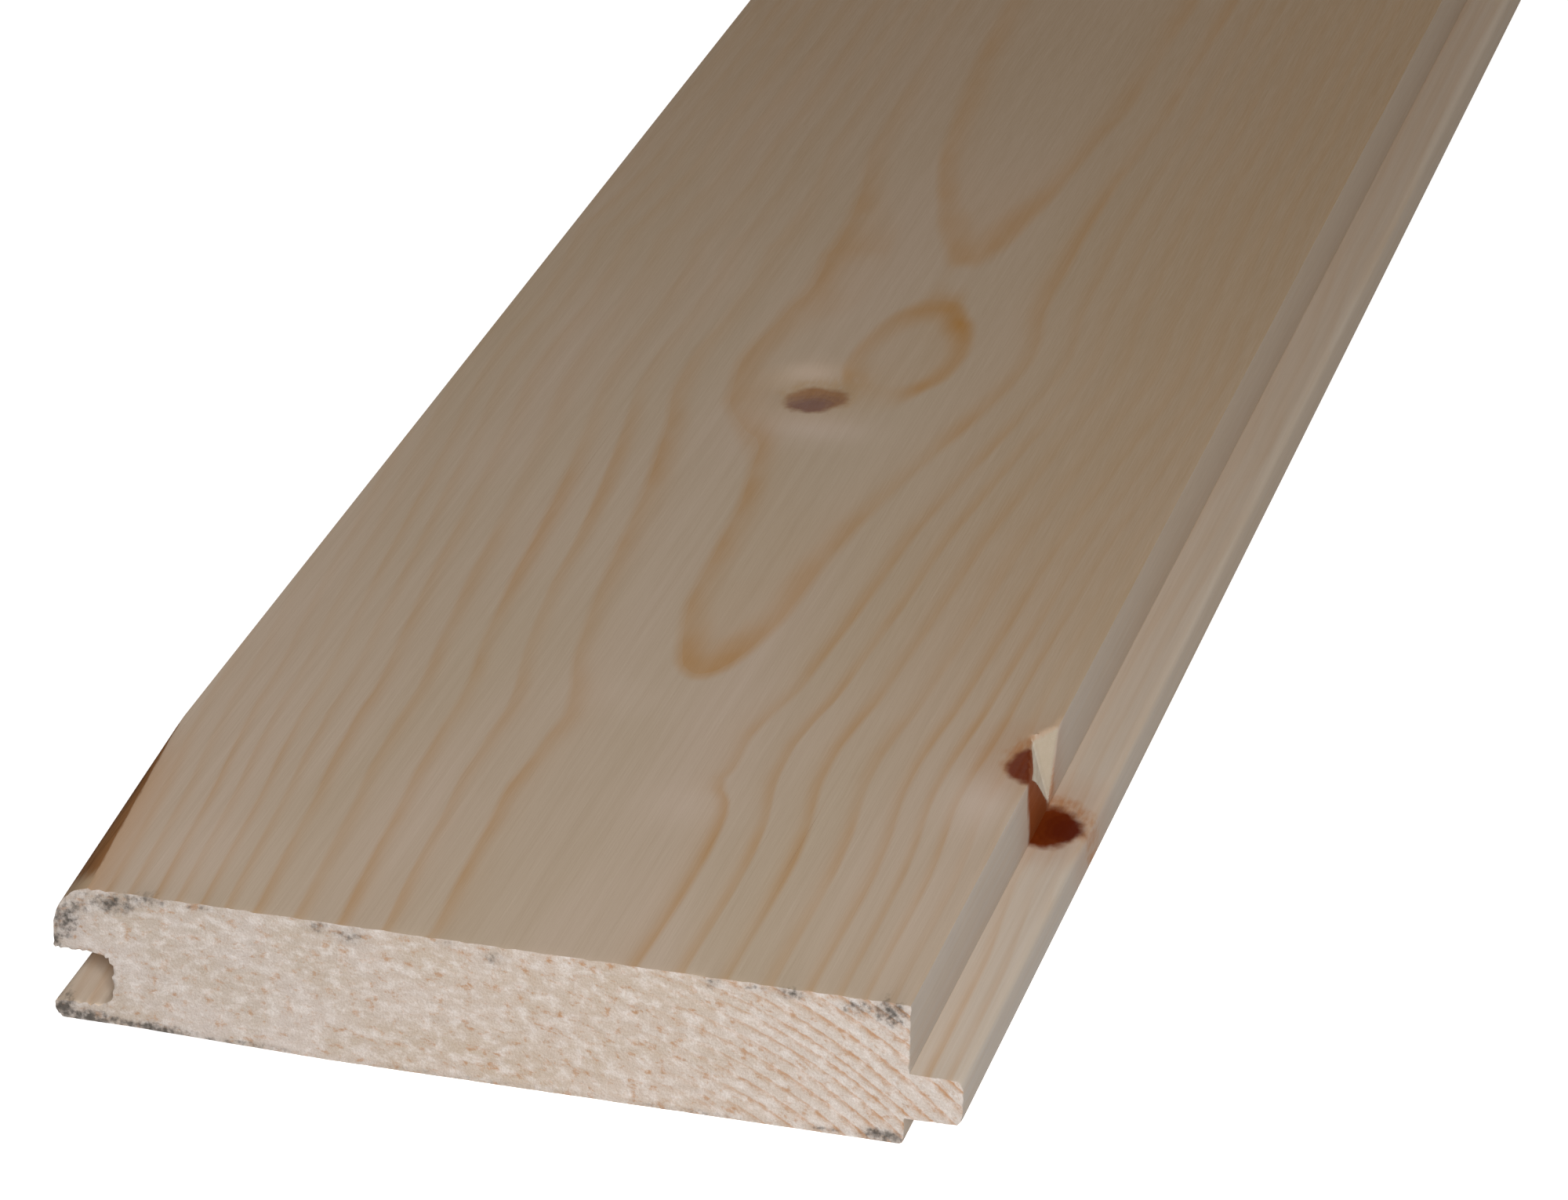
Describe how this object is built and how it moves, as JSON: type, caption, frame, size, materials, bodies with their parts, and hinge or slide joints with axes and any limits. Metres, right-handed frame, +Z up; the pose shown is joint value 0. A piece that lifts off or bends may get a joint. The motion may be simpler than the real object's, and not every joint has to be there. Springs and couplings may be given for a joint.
{
  "type": "tongue and groove board",
  "caption": "Softwood tongue and groove board lying face up, with a bright sawn end, flat-sawn grain, knots and a waney arris; its tongue fits the groove of the next board.",
  "frame": {"origin": "centre of the board's length and overall width, on the plane of its underside", "axes": "+X across the board from groove to tongue, +Y along the grain away from the sawn end that the picture shows, +Z up out of the face side"},
  "size_m": [0.146, 2, 0.024],
  "materials": {
    "softwood": "planed, unfinished"
  },
  "bodies": {
    "root": {"board": "softwood"}
  },
  "joints": []
}
